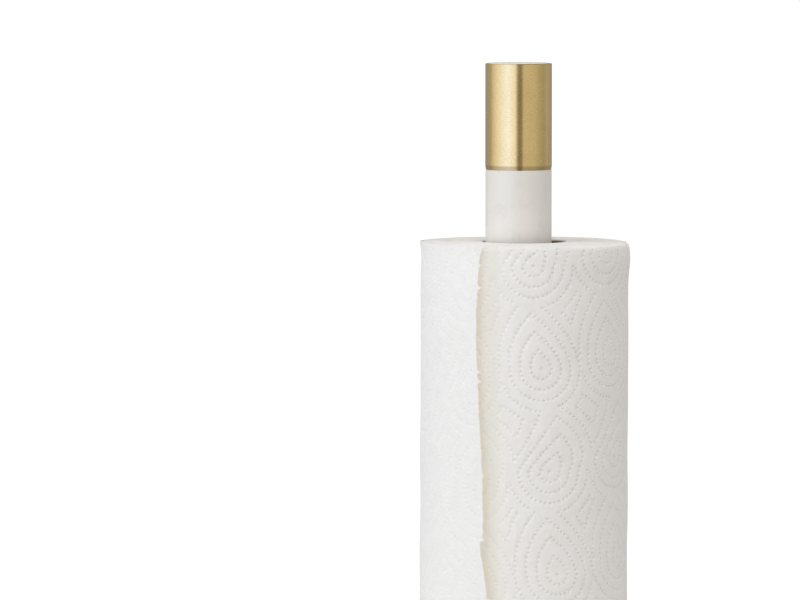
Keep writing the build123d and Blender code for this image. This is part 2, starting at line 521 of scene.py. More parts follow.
@dataclass(frozen=True)
class TowelPaper(Finish):
    """Soft two-ply towel: creped across its length, with a faint mottle of fibres.

    A single loose sheet lets part of the light through, so it shades the paper behind it only lightly.
    Past the painted shadow's start along the web the colour turns warmer and darker: a painted shadow of
    the loose sheet's torn edge on the paper beside it and under it.
    Sizes and scales are in millimetres on the web, and the relief is in metres.
    """

    name: str = "towel_paper"
    pale: Colour = (0.915, 0.898, 0.88)
    shaded: Colour = (0.865, 0.843, 0.815)
    crepe_pitch: float = 0.62
    crepe_length: float = 2.2
    fibre_scale: float = 1.15
    mottle_scale: float = 0.16
    relief: float = 0.0004
    glow: Colour = (1.0, 0.965, 0.90)
    glow_share: float = 0.0
    # painted shadow beside the loose sheet's torn edge: its warm, darker colour, where it starts along the
    # web and how long it fades in
    painted_shadow_colour: Colour = (0.84, 0.827, 0.778)
    painted_shadow_start: float = 0.0
    painted_shadow_fade: float = 5.5

    def paint(self, s: Shader) -> None:
        """Writes the shader.

        Args:
            s: The shader to write.
        """
        web = s.web_place()
        creped = s.stretch(web, (1 / self.crepe_pitch, 1 / self.crepe_length, 1.0))
        crepe = s.noise(creped, 1.0, 3.0, 0.6)
        fibres = s.noise(web, self.fibre_scale, 4.0, 0.75)
        mottle = s.noise(web, self.mottle_scale, 3.0, 0.6)
        shade = (fibres * 0.6 + mottle * 0.4).ease(0.32, 0.68)
        colour = s.blend(shade, self.pale, self.shaded)
        # painted shadow: past painted_shadow_start the colour fades to the warm, darker tone that stands in
        # for the loose sheet's shade
        if self.painted_shadow_start:
            beside_tear = s.parts(web)[0].ease(self.painted_shadow_start, self.painted_shadow_start + self.painted_shadow_fade)
            colour = s.blend(beside_tear, colour, self.painted_shadow_colour)
        s.set(base_color=colour, roughness=0.92)
        s.set(normal=s.bump(crepe * 0.5 + fibres * 0.5, self.relief), specular_ior_level=0.15)
        if self.glow_share:
            s.let_through(self.glow_share, self.glow)


@dataclass(frozen=True)
class PaleFloor(Finish):
    """A matt pale floor that fades out between two shares of its radius."""

    radius: float
    name: str = "pale_floor"
    colour: Colour = (0.69, 0.69, 0.68)
    faded: float = 0.97
    solid: float = 0.4

    def paint(self, s: Shader) -> None:
        """Writes the shader.

        Args:
            s: The shader to write.
        """
        _, away, _ = s.around()
        s.set(base_color=self.colour, roughness=0.85, specular_ior_level=0.2)
        s.set(alpha=away.ease(self.radius * self.faded, self.radius * self.solid))


# Mesh helpers


class Shading(Enum):
    """How a mesh's faces meet."""

    SMOOTH = "smooth"
    CREASED = "creased"


CREASE_ANGLE = math.radians(55.0)


@dataclass
class Patch:
    """Points in millimetres with the faces between them and each point's place on the flat web."""

    points: np.ndarray
    faces: list[tuple[int, ...]]
    web: np.ndarray

    def joined(self, other: "Patch") -> "Patch":
        """Puts two patches together, with nothing welded.

        Args:
            other: The second patch.

        Returns:
            Both as one.
        """
        shift = len(self.points)
        moved = [tuple(i + shift for i in face) for face in other.faces]
        points = np.vstack([self.points, other.points])
        return Patch(points, self.faces + moved, np.vstack([self.web, other.web]))


def make_piece(
    name: str, patch: Patch, finish: bpy.types.Material, shading: Shading, weld: float = 0.0
) -> bpy.types.Object:
    """Turns a patch into an object.

    Args:
        name: The object's name.
        patch: Its surface, in millimetres.
        finish: Its material.
        shading: How its faces meet.
        weld: Points closer than this, in millimetres, become one.

    Returns:
        The linked object.
    """
    mesh = bpy.data.meshes.new(name)
    mesh.from_pydata((patch.points * MM).tolist(), [], patch.faces)
    place = mesh.attributes.new(WEB_PLACE, "FLOAT_VECTOR", "POINT")
    place.data.foreach_set("vector", patch.web.astype(np.float32).ravel())
    edit = bmesh.new()
    edit.from_mesh(mesh)
    if weld:
        bmesh.ops.remove_doubles(edit, verts=edit.verts, dist=weld * MM)
    bmesh.ops.dissolve_degenerate(edit, edges=edit.edges, dist=1e-8)
    bmesh.ops.recalc_face_normals(edit, faces=edit.faces)
    for face in edit.faces:
        face.smooth = True
    if shading is Shading.CREASED:
        for edge in edit.edges:
            if len(edge.link_faces) == 2 and edge.calc_face_angle(0.0) > CREASE_ANGLE:
                edge.smooth = False
    edit.to_mesh(mesh)
    edit.free()
    mesh.materials.append(finish)
    made = bpy.data.objects.new(name, mesh)
    bpy.context.scene.collection.objects.link(made)
    return made


def ease(value: np.ndarray | float, low: float, high: float) -> np.ndarray:
    """Eases from 0 at low to 1 at high, and holds outside."""
    t = np.clip((np.asarray(value, float) - low) / (high - low), 0.0, 1.0)
    return t * t * (3 - 2 * t)


class Drift:
    """Smooth repeatable noise along a line, from -1 to 1, with one knot for each unit."""

    KNOTS = 4096

    def __init__(self, seed: int) -> None:
        """Draws the knots."""
        self.knots = np.random.default_rng(seed).uniform(-1.0, 1.0, self.KNOTS)

    def __call__(self, place: np.ndarray | float) -> np.ndarray:
        """Reads the noise.

        Args:
            place: One or more places along the line.

        Returns:
            The noise at each.
        """
        place = np.asarray(place, float)
        base = np.floor(place).astype(int)
        t = ease(place - base, 0.0, 1.0)
        first, second = self.knots[base % self.KNOTS], self.knots[(base + 1) % self.KNOTS]
        return first * (1 - t) + second * t


# Places from the frame


@dataclass(frozen=True)
class Span:
    """A frame node's box, in millimetres."""

    low: Vector
    high: Vector

    @property
    def middle_x(self) -> float:
        """The box's middle along X."""
        return (self.low.x + self.high.x) / 2

    @property
    def radius(self) -> float:
        """Half the box's width along X."""
        return (self.high.x - self.low.x) / 2


def span(node: str) -> Span:
    """Reads a frame node's box."""
    low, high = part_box(node)
    return Span(low / MM, high / MM)


# The towel's emboss


@dataclass(frozen=True)
class WebPart:
    """A rectangle of the flat web, in millimetres along it and up it."""

    start: float
    end: float
    height: float


@dataclass(frozen=True)
class DropEmboss:
    """Dots pressed along nested drop outlines, in staggered columns, on the flat web in millimetres.

    An outline's size is counted in rings. Each dot belongs to the drop in which it is the fewest rings
    out, so that neighbours' outer rings meet and the gaps between drops fill with small kites.
    """

    first_along: float = 310.3
    first_up: float = 107.3
    column_pitch: float = 43.9
    row_pitch: float = 53.7
    column_step: float = 5.8
    row_drift: float = 4.6
    ring_width: float = 5.5
    ring_reach: float = 9.6
    ring_count: int = 6
    dot_pitch: float = 2.55
    least_gap: float = 1.75
    curl: float = 6.0
    curl_height: float = 36.0
    lean: float = 0.2
    overlap: float = 0.12
    neighbour_reach: float = 120.0
    outline_steps: int = 120
    ROWS = range(-4, 8)
    COLUMNS = range(-12, 12)

    def _shift(self, up: np.ndarray, row: int) -> np.ndarray:
        """How far a drop's upper half bends sideways.

        Args:
            up: Heights above its middle.
            row: The drop's row.

        Returns:
            The bend at each height.
        """
        rise = np.clip(up, 0.0, self.ring_count * self.ring_reach)
        if row % 2 == 0:
            return -self.curl * np.sin(np.pi * np.clip(rise / self.curl_height, 0.0, 1.5))
        return self.lean * rise

    def _rings_out(self, along: np.ndarray, up: np.ndarray, row: int) -> np.ndarray:
        """How many rings out a point is from a drop's middle.

        Args:
            along: Distance from the middle along the web.
            up: Distance above the middle.
            row: The drop's row, which decides its lean.

        Returns:
            The ring count, with fractions between rings.
        """
        round_part = np.hypot(along, up) / self.ring_width
        side = np.abs(along - self._shift(up, row))
        crown = 4 * self.ring_width * self.ring_width * (up / self.ring_reach) ** 2
        pointed = (side + np.sqrt(side * side + crown)) / (2 * self.ring_width)
        return np.where(up < 0, round_part, pointed)

    def _outline(self, ring: int, row: int) -> np.ndarray:
        """Spaces dots evenly round one ring, from its tip.

        Args:
            ring: The ring, counted from the middle.
            row: The drop's row.

        Returns:
            The dots, as offsets from the drop's middle.
        """
        half, reach = ring * self.ring_width, ring * self.ring_reach
        rise = np.linspace(1.0, 0.0, self.outline_steps)
        side = half * (1 - rise * rise)
        sweep = np.linspace(0.0, np.pi, self.outline_steps)
        right = np.column_stack([side, rise * reach])
        foot = np.column_stack([half * np.cos(sweep), -half * np.sin(sweep)])[1:]
        left = np.column_stack([-side[::-1], rise[::-1] * reach])[1:]
        outline = np.vstack([right, foot, left])
        outline[:, 0] += self._shift(outline[:, 1], row) * (outline[:, 1] > 0)
        gone = np.concatenate([[0.0], np.cumsum(np.hypot(*np.diff(outline, axis=0).T))])
        count = max(3, round(gone[-1] / self.dot_pitch))
        stops = np.arange(count) * gone[-1] / count
        return np.column_stack([np.interp(stops, gone, outline[:, i]) for i in range(2)])

    def _middles(self, part: WebPart) -> list[tuple[float, float, int]]:
        """Finds the drops that reach a part of the web.

        Args:
            part: That part.

        Returns:
            Each drop's middle, along and up, and its row.
        """
        found = []
        reach = self.ring_count * self.ring_reach
        for row in self.ROWS:
            for column in self.COLUMNS:
                along = self.first_along - self.column_pitch * column + self.row_drift * row
                up = self.first_up + self.row_pitch * row + self.column_step * column
                beside = part.start - reach < along < part.end + reach
                if beside and -reach < up < part.height + reach:
                    found.append((along, up, row))
        return found

    def dots(self, part: WebPart, margin: float) -> np.ndarray:
        """Places the dots on a part of the web.

        Args:
            part: That part.
            margin: How far dots stay inside its edges.

        Returns:
            One row of along and up for each dot.
        """
        middles = self._middles(part)
        gathered = [np.array([[along, up] for along, up, _ in middles])]
        for ring in range(1, self.ring_count + 1):
            for i, (along, up, row) in enumerate(middles):
                spots = self._outline(ring, row) + (along, up)
                others = [m for k, m in enumerate(middles) if k != i]
                near = [m for m in others if abs(m[0] - along) < self.neighbour_reach]
                out = [self._rings_out(spots[:, 0] - a, spots[:, 1] - u, r) for a, u, r in near]
                gathered.append(spots[np.min(out, axis=0) > ring - self.overlap])
        spots = np.vstack(gathered)
        inside = (spots[:, 0] > part.start + margin) & (spots[:, 0] < part.end - margin)
        inside &= (spots[:, 1] > margin) & (spots[:, 1] < part.height - margin)
        return self._spread(spots[inside])

    def _spread(self, spots: np.ndarray) -> np.ndarray:
        """Leaves out each dot that lies too near an earlier one.

        Args:
            spots: The dots, in order of rank.

        Returns:
            The dots that are left.
        """
        cells: dict[tuple[int, int], list[np.ndarray]] = {}
        kept = []
        for spot in spots:
            column, row = (int(v // self.least_gap) for v in spot)
            near = [p for i in (-1, 0, 1) for j in (-1, 0, 1) for p in cells.get((column + i, row + j), [])]
            if all(np.hypot(*(spot - p)) >= self.least_gap for p in near):
                cells.setdefault((column, row), []).append(spot)
                kept.append(spot)
        return np.array(kept)


@dataclass(frozen=True)
class DotPress:
    """The tool that presses the dots: how deep, how wide, and how the towel quilts between them."""

    depth: float = 0.68
    radius: float = 0.72
    floor_radius: float = 0.30
    floor_share: float = 0.78
    floor_points: int = 6
    rim_points: int = 8
    clear_radius: float = 1.2
    quilt_depth: float = 0.05
    quilt_spread: float = 0.85
    quilt_cell: float = 0.5
    quilt_reach: int = 12
    quilt_crowd: float = 2.2
    quilt_most: float = 1.2

    def rings(self, dots: np.ndarray) -> tuple[np.ndarray, np.ndarray]:
        """The points of every dot.

        Args:
            dots: The dots' middles.

        Returns:
            Points, and how far each is pressed in.
        """
        points, pressed = [dots], [np.full(len(dots), self.depth)]
        circles = (
            (self.floor_points, self.floor_radius, self.depth * self.floor_share),
            (self.rim_points, self.radius, 0.0),
        )
        for count, radius, depth in circles:
            for k in range(count):
                angle = TURN * k / count
                points.append(dots + (radius * math.cos(angle), radius * math.sin(angle)))
                pressed.append(np.full(len(dots), depth))
        return np.vstack(points), np.concatenate(pressed)

    def quilt(self, points: np.ndarray, dots: np.ndarray) -> np.ndarray:
        """Draws each row of dots into a shallow groove, by how crowded the dots are.

        Args:
            points: Places on the web.
            dots: The dots' middles.

        Returns:
            How far the towel dips at each place.
        """
        cell = self.quilt_cell
        edge = 6 * self.quilt_spread
        low = dots.min(0) - edge
        shape = np.ceil((dots.max(0) + edge - low) / cell).astype(int) + 2
        grid = np.zeros(shape)
        at = np.round((dots - low) / cell).astype(int)
        np.add.at(grid, (at[:, 0], at[:, 1]), 1.0)
        reach = np.arange(-self.quilt_reach, self.quilt_reach + 1) * cell
        kernel = np.exp(-0.5 * (reach / self.quilt_spread) ** 2)
        for axis in (0, 1):
            grid = np.apply_along_axis(np.convolve, axis, grid, kernel, "same")
        spot = np.clip((points - low) / cell, 0, np.array(shape) - 1.001)
        i, j = spot[:, 0].astype(int), spot[:, 1].astype(int)
        a, b = spot[:, 0] - i, spot[:, 1] - j
        near = grid[i, j] * (1 - a) + grid[i + 1, j] * a
        far = grid[i, j + 1] * (1 - a) + grid[i + 1, j + 1] * a
        crowding = (near * (1 - b) + far * b) / self.quilt_crowd
        return self.quilt_depth * np.clip(crowding, 0.0, self.quilt_most)


@dataclass(frozen=True)
class WebMesher:
    """Meshes a rectangle of flat web finely round its dots and openly between them."""

    press: DotPress = DotPress()
    field_pitch: float = 1.6
    plain_pitch: float = 5.0

    @staticmethod
    def sides(across: int, up: int) -> list[list[int]]:
        """Numbers a rectangle's border points by side.

        Args:
            across: Border steps along.
            up: Border steps up.

        Returns:
            The points of the foot, end, top and start in turn, each with both its corners.
        """
        count = 2 * (across + up)
        firsts = (0, across, across + up, 2 * across + up)
        steps = (across, up, across, up)
        return [[(first + k) % count for k in range(n + 1)] for first, n in zip(firsts, steps, strict=True)]

    def _border(self, part: WebPart, steps: tuple[int, int]) -> np.ndarray:
        """Spaces points round a part of the web.

        Args:
            part: That part.
            steps: Border steps along and up.

        Returns:
            The points, anticlockwise from its lower start, without a repeat.
        """
        across, up = steps
        x, y = np.linspace(part.start, part.end, across + 1), np.linspace(0.0, part.height, up + 1)
        foot = np.column_stack([x[:-1], np.zeros(across)])
        right = np.column_stack([np.full(up, part.end), y[:-1]])
        top = np.column_stack([x[:0:-1], np.full(across, part.height)])
        left = np.column_stack([np.full(up, part.start), y[:0:-1]])
        return np.vstack([foot, right, top, left])

    def _field(self, part: WebPart, pitch: float) -> np.ndarray:
        """Spreads staggered points over a part of the web, clear of its edges.

        Args:
            part: That part.
            pitch: The distance between points.

        Returns:
            The points.
        """
        rows = np.arange(pitch * 0.8, part.height - pitch * 0.5, pitch * 0.88)
        lines = []
        for i, up in enumerate(rows):
            along = np.arange(part.start + pitch * (0.7 + 0.5 * (i % 2)), part.end - pitch * 0.5, pitch)
            lines.append(np.column_stack([along, np.full(len(along), up)]))
        return np.vstack(lines)

    def _clear_of(self, points: np.ndarray, dots: np.ndarray) -> np.ndarray:
        """Picks points that lie clear of every dot.

        Args:
            points: The points to pick from.
            dots: The dots' middles.

        Returns:
            The points that are left.
        """
        tree = kdtree.KDTree(len(dots))
        for i, dot in enumerate(dots):
            tree.insert((*dot, 0.0), i)
        tree.balance()
        return points[[tree.find((*p, 0.0))[2] > self.press.clear_radius for p in points]]

    def mesh(
        self, part: WebPart, steps: tuple[int, int], dots: np.ndarray, plain: float
    ) -> tuple[np.ndarray, np.ndarray, list[tuple[int, ...]], int]:
        """Meshes one part of the web.

        Args:
            part: That part.
            steps: Border steps along and up.
            dots: The dots pressed into it. None means a plain, open mesh.
            plain: Where the dots end along the web. Beyond that the mesh is open.

        Returns:
            Points on the web, how far each is pressed in, faces, and how many border points come first.
        """
        border = self._border(part, steps)
        pieces, pressed = [border], [np.zeros(len(border))]
        if len(dots):
            rings, depth = self.press.rings(dots)
            field = self._field(WebPart(part.start, plain, part.height), self.field_pitch)
            pieces += [rings, self._clear_of(field, dots)]
            pressed += [depth, np.zeros(len(pieces[-1]))]
        if part.end - plain > 2 * self.plain_pitch:
            open_part = WebPart(plain, part.end, part.height)
            pieces.append(self._field(open_part, self.plain_pitch))
            pressed.append(np.zeros(len(pieces[-1])))
        points, depths = np.vstack(pieces), np.concatenate(pressed)
        if len(dots):
            depths = depths + self.press.quilt(points, dots)
        found = geometry.delaunay_2d_cdt([Vector(p) for p in points.tolist()], [], [], 0, 0.0, False)
        if len(found[0]) != len(points):
            raise RuntimeError("two points of the web coincide")
        return points, depths, [tuple(f) for f in found[2]], len(border)


# The roll


Wave = tuple[int, float, float, float]


def ripples(waves: tuple[Wave, ...], angle: np.ndarray | float, up: np.ndarray) -> np.ndarray:
    """Adds up waves that run round and up the roll.

    Args:
        waves: For each, its count round the roll, its length up it, its phase and its size.
        angle: Angles round the roll.
        up: Heights on the roll.

    Returns:
        The sum at each place.
    """
    return sum(size * np.sin(count * angle + up / length + phase) for count, length, phase, size in waves)


@dataclass(frozen=True)
class Winding:
    """Where any point of the wound web lies on the roll.

    Distance along the web is counted from the torn edge, which is near the front, and runs clockwise
    as seen from above. Lengths are in millimetres and turns are in radians, or degrees where a name
    says so.
    """

    centre_x: float
    foot: float
    height: float
    radius: float
    layer: float = 0.49
    free_turn: float = math.radians(24.0)
    lift: float = 5.2
    lift_length: float = 80.0
    top_hold: float = 0.42
    hold_gains: tuple[tuple[float, float, float], ...] = ((0.36, 2.0, 26.0), (0.22, 60.0, 130.0))
    sway: tuple[Wave, ...] = ((0, 23.0, 0.6, 0.10), (0, 8.7, 0.0, 0.05))
    shoulder: float = 2.4
    rounding_degrees: tuple[float, float] = (95.0, 165.0)
    dip: float = 0.62
    dip_degrees: tuple[float, float] = (282.0, 330.0)
    dip_end_degrees: tuple[float, float] = (455.0, 505.0)
    corner_degrees: float = 64.0
    corner_spread_degrees: float = 12.0
    corner_depth: float = 6.0
    corner_out: float = 0.7
    corner_rise: float = 0.5
    aside: float = 0.5
    lean: float = 0.003
    lean_middle: float = 150.0
    crown: float = 0.75
    crown_depth: float = 9.0
    crown_spread: float = 7.5
    worn: float = 0.4
    worn_depth: float = 7.0
    wave: float = 0.11
    waves: tuple[Wave, ...] = ((3, 11.0, 0.0, 1.0), (5, -7.3, 1.0, 0.8))

    @property
    def round_length(self) -> float:
        """The length of web in one turn."""
        return TURN * self.radius

    def turned(self, along: np.ndarray) -> np.ndarray:
        """How far round the roll a place on the web is, in radians from the torn edge."""
        return np.asarray(along, float) / self.radius

    def angle(self, turn: np.ndarray) -> np.ndarray:
        """The angle about the axis, from +X, of a turn from the torn edge."""
        return -math.pi / 2 - self.free_turn - turn

    def drift(self, level: np.ndarray) -> np.ndarray:
        """How far the roll's outside stands to the right of its core at a level."""
        return self.aside + self.lean * (level - self.lean_middle)

    def _lifted(self, along: np.ndarray, up: np.ndarray) -> np.ndarray:
        """Lifts the loose end, least at its top.

        Args:
            along: Distance from the torn edge.
            up: Height on the web.

        Returns:
            How far each point stands off the roll.
        """
        left = np.clip(1 - along / self.lift_length, 0.0, None)
        down = self.height - up
        hold = self.top_hold + sum(gain * ease(down, low, high) for gain, low, high in self.hold_gains)
        return self.lift * left * left * hold * (1 + ripples(self.sway, 0.0, up))

    def _swollen(self, angle: np.ndarray, up: np.ndarray) -> np.ndarray:
        """Swells the wall where handling has left it uneven, and below its worn upper rim.

        Args:
            angle: Angle about the axis.
            up: Height on the web.

        Returns:
            How far the wall stands out at each point.
        """
        down = self.height - up
        right = ease(np.cos(angle), 0.2, 0.75)
        ring = self.crown * np.exp(-(((down - self.crown_depth) / self.crown_spread) ** 2))
        worn = self.worn * np.clip(1 - down / self.worn_depth, 0.0, 1.0) ** 2
        away_from_rims = ease(down, 0.0, 12.0) * ease(up, 0.0, 12.0)
        return right * (ring - worn) + self.wave * ripples(self.waves, angle, up) * away_from_rims

    def _rounded(self, turn: np.ndarray) -> np.ndarray:
        """How far the roll's rims are rounded off: not at all near the torn edge, fully behind.

        Args:
            turn: Turn from the torn edge.

        Returns:
            A share of the full shoulder for each turn.
        """
        degrees = np.degrees(turn)
        dip = ease(degrees, *self.dip_degrees) * (1 - ease(degrees, *self.dip_end_degrees))
        return ease(degrees, *self.rounding_degrees) - self.dip * dip

    def _curled(self, turn: np.ndarray, up: np.ndarray) -> np.ndarray:
        """How far a point is in the sheet's curled upper corner, from 0 to 1.

        Args:
            turn: Turn from the torn edge.
            up: Height on the web.

        Returns:
            The share of the curl at each point.
        """
        beside = (np.degrees(turn) - self.corner_degrees) / self.corner_spread_degrees
        return np.exp(-(beside**2)) * (1 - ease(self.height - up, 0.0, self.corner_depth))

    def place(self, along: np.ndarray, up: np.ndarray, proud: np.ndarray) -> np.ndarray:
        """Puts points of the web on the roll.

        Args:
            along: Distance from the torn edge.
            up: Height above the web's lower edge, measured on the web.
            proud: How far the point stands out from the web's outer face.

        Returns:
            Points in the holder's frame, in millimetres.
        """
        turn = self.turned(along)
        angle = self.angle(turn)
        bend = np.maximum(self._rounded(turn), 1e-4) / self.shoulder
        over_top = np.clip(up - (self.height - self.shoulder), 0.0, None)
        under_foot = np.clip(self.shoulder - up, 0.0, None)
        swept = (over_top + under_foot) * bend
        radius = self.radius - self.layer * turn / TURN + self._lifted(along, up) + self._swollen(angle, up)
        radius = radius - (1 - np.cos(swept)) / bend + proud * np.cos(swept)
        level = np.clip(up, self.shoulder, self.height - self.shoulder)
        level = level + np.sign(over_top - under_foot) * (np.sin(swept) / bend + proud * np.sin(swept))
        curled = self._curled(turn, up)
        radius = radius + self.corner_out * curled
        level = self.foot + level + self.corner_rise * curled
        x, y = self.centre_x + self.drift(level) + radius * np.cos(angle), radius * np.sin(angle)
        return np.column_stack([x, y, level])


@dataclass(frozen=True)
class TornEdge:
    """The outline of the torn end: a lazy curve with fine teeth and a few longer tufts.

    The curve pairs depths below the web's top with how far the paper reaches past its start there.
    The teeth are random, each kind with its seed, size and pitch.
    """

    height: float
    reach: float = 16.0
    curve: tuple[tuple[float, float], ...] = (
        (0, 0.8), (4, -1.6), (10, -1.9), (21, -2.0), (31, -2.4),
        (47, -2.4), (63, -1.9), (84, -0.8), (110, 0.9), (126, 1.5),
        (151, 2.0), (155, 0.2), (161, 1.1), (177, 3.7), (225, 6.4),
    )
    smoothing: float = 2.5
    teeth: tuple[tuple[int, float, float], ...] = ((11, 0.32, 0.8), (12, 0.16, 2.7))
    tufts: tuple[float, ...] = (9.9, 21.5, 65.4, 70.4, 119.7, 153.0, 184.5)
    tuft_length: float = 2.1
    tuft_width: float = 0.6

    def past(self, up: np.ndarray) -> np.ndarray:
        """Follows the torn edge.

        Args:
            up: Heights on the web.

        Returns:
            How far the edge stands past the web's start at each height.
        """
        down = self.height - up
        depths, past_start = zip(*self.curve, strict=True)
        nearby = [down + k * self.smoothing for k in (-1.0, -0.5, 0.0, 0.5, 1.0)]
        curve = sum(np.interp(d, depths, past_start) for d in nearby) / len(nearby)
        teeth = sum(size * Drift(seed)(up / pitch) for seed, size, pitch in self.teeth)
        tuft = sum(np.exp(-(((down - at) / self.tuft_width) ** 2)) for at in self.tufts)
        return curve + teeth + self.tuft_length * tuft

    def warp(self, along: np.ndarray, up: np.ndarray) -> np.ndarray:
        """Moves the first stretch of web so that its start follows the tear."""
        return along - self.past(up) * (1 - ease(along, 0.0, self.reach))


@dataclass(frozen=True)
class PaperRoll:
    """The kitchen roll's paper: the wound body and the loose outermost sheet. Sizes are in millimetres."""

    winding: Winding
    core_radius: float
    sheet_length: float = 250.0
    emboss: DropEmboss = DropEmboss()
    mesher: WebMesher = WebMesher()
    single_sheet: TowelPaper = TowelPaper(
        "towel_paper_single", pale=(0.905, 0.902, 0.902), shaded=(0.86, 0.856, 0.852), glow_share=0.78
    )
    # how far the painted shadow beside the torn edge reaches onto the exposed wound paper
    painted_shadow_width: float = 10.5
    sheet_thickness: float = 0.42
    torn_share: float = 0.3
    torn_reach: float = 5.0
    flat_share: float = 0.25
    flat_reach: tuple[float, float] = (30.0, 75.0)
    covered_share: float = 0.4
    covered_reach: tuple[float, float] = (-28.0, -4.0)
    perforation_gap: float = 0.3
    dot_margin: float = 1.3
    under_flap: float = 30.0
    sheet_steps: tuple[int, int] = (160, 430)
    stations: int = 216
    rows: int = 140
    layer_depth: float = 0.10
    end_drifts: tuple[tuple[float, float], ...] = ((0.07, 55.0), (0.16, 1500.0))
    weld: float = 0.002

    @property
    def station_turns(self) -> np.ndarray:
        """The turn of each of the body's stations, the last a turn after the first."""
        length = self.winding.round_length
        return self.winding.turned(self.sheet_length + np.linspace(0.0, length, self.stations + 1))

    def build(self) -> None:
        """Builds both pieces and fixes them to their body."""
        body = self._wound_body()
        sheet = self._outer_sheet()
        for piece, node in ((body, "paper_roll"), (sheet, "outer_sheet")):
            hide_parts(node)
            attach(piece, "paper")
            LOG.info("%s: %d faces", piece.name, len(piece.data.polygons))
        flat = (self.winding.height * MM, self.sheet_length * MM)

    def _outer_sheet(self) -> bpy.types.Object:
        """Builds the outermost sheet, from its torn edge to its next perforation.

        Returns:
            The sheet's piece.
        """
        part = WebPart(0.0, self.sheet_length - self.perforation_gap, self.winding.height)
        tear = TornEdge(part.height)
        dots = self.emboss.dots(part, self.dot_margin)
        points, pressed, faces, border = self.mesher.mesh(part, self.sheet_steps, dots, part.end)
        pressed = pressed * (self.flat_share + (1 - self.flat_share) * ease(points[:, 0], *self.flat_reach))
        outer = self._laid(points, -pressed, faces, tear)
        no_dots = np.empty((0, 2))
        points, _, faces, _ = self.mesher.mesh(part, self.sheet_steps, no_dots, 0.0)
        thinned = self.torn_share + (1 - self.torn_share) * ease(points[:, 0], 0.0, self.torn_reach)
        whole = outer.joined(self._laid(points, -self.sheet_thickness * thinned, faces, tear))
        shift = len(outer.points)
        for i in range(border):
            k = (i + 1) % border
            whole.faces.append((i, k, shift + k, shift + i))
        return make_piece("loose_sheet", whole, self.single_sheet.material(), Shading.CREASED)

    def _laid(
        self, points: np.ndarray, proud: np.ndarray, faces: list[tuple[int, ...]], tear: TornEdge | None
    ) -> Patch:
        """Lays flat web on the roll.

        Args:
            points: Places on the web.
            proud: How far each stands out.
            faces: Faces between them.
            tear: The outline of the web's torn start, if it has one.

        Returns:
            The patch on the roll.
        """
        along = points[:, 0] if tear is None else tear.warp(points[:, 0], points[:, 1])
        placed = self.winding.place(along, points[:, 1], proud)
        web = np.column_stack([along, points[:, 1], proud])
        return Patch(placed, faces, web)

    def _wound_body(self) -> bpy.types.Object:
        """Builds the wound paper: one turn of embossed wall, both ends with their layers, and the bore.

        Returns:
            The body's piece.
        """
        w = self.winding
        part = WebPart(self.sheet_length, self.sheet_length + w.round_length, w.height)
        plain = w.round_length + self.under_flap
        steps = (self.stations, self.rows)
        dots = self.emboss.dots(WebPart(part.start, plain, part.height), self.dot_margin)
        points, pressed, faces, _ = self.mesher.mesh(part, steps, dots, plain)
        beside_tear = ease(points[:, 0] - w.round_length, *self.covered_reach)
        pressed = pressed * (1 - (1 - self.covered_share) * beside_tear)
        body = self._laid(points, -pressed, faces, None)
        foot, far, top, near = self.mesher.sides(*steps)
        near.reverse()
        body = self._with_end(body, top[::-1], True)
        body = self._with_end(body, foot, False)
        for i in range(self.rows):
            body.faces.append((near[i], near[i + 1], far[i + 1], far[i]))
        body = body.joined(self._bore())
        # the wound paper's colour carries a painted shadow of the loose sheet's torn edge
        paper = TowelPaper(painted_shadow_start=w.round_length - self.painted_shadow_width).material()
        return make_piece("wound_paper", body, paper, Shading.CREASED, self.weld)

    def _end_levels(self, count: int, top: bool) -> np.ndarray:
        """How far each layer edge stands in from the roll's end.

        Args:
            count: Half layers from the outside to the core.
            top: True for the upper end.

        Returns:
            One row for each half layer and one column for each station.
        """
        half = np.arange(count)[:, None]
        spiral = np.degrees(self.station_turns) + 180.0 * half
        seeds = (21, 23) if top else (22, 24)
        drifts = zip(seeds, self.end_drifts, strict=True)
        level = sum(size * Drift(seed)(spiral / length) for seed, (size, length) in drifts)
        return np.where(half % 2 == 1, level - self.layer_depth, level)

    def _with_end(self, body: Patch, rim: list[int], top: bool) -> Patch:
        """Adds one end of the roll, with a ridge for each layer of the spiral.

        Args:
            body: The roll so far.
            rim: The wall's points at that end, one for each station, the last a turn after the first.
            top: True for the upper end.

        Returns:
            The roll with that end.
        """
        w = self.winding
        edge = body.points[rim]
        angle = w.angle(self.station_turns)
        drift = w.drift(edge[:, 2])
        reach = np.hypot(edge[:, 0] - w.centre_x - drift, edge[:, 1])
        count = int((reach.max() - self.core_radius) / (w.layer / 2)) + 3
        radius = reach - np.arange(count)[:, None] * w.layer / 2
        sunk = w.foot + w.height - edge[:, 2] if top else edge[:, 2] - w.foot
        fade = np.clip(1 - (reach - radius) / w.shoulder, 0.0, 1.0) ** 2
        level = self._end_levels(count, top) * (1 - fade) - sunk * fade
        at_core = radius < self.core_radius
        radius = np.where(at_core, self.core_radius, radius)
        level = np.where(at_core, 0.0, level)
        outward = (radius - self.core_radius) / (reach - self.core_radius)
        x = w.centre_x + drift * outward + radius * np.cos(angle)
        y = radius * np.sin(angle)
        z = w.foot + w.height + level if top else w.foot - level
        points, web = (
            np.stack(values, axis=-1)[1:, : self.stations].reshape(-1, 3)
            for values in ((x, y, z), (radius * angle, radius, level))
        )
        faces = body.faces + self._end_faces(rim, at_core, len(body.points))
        return Patch(np.vstack([body.points, points]), faces, np.vstack([body.web, web]))

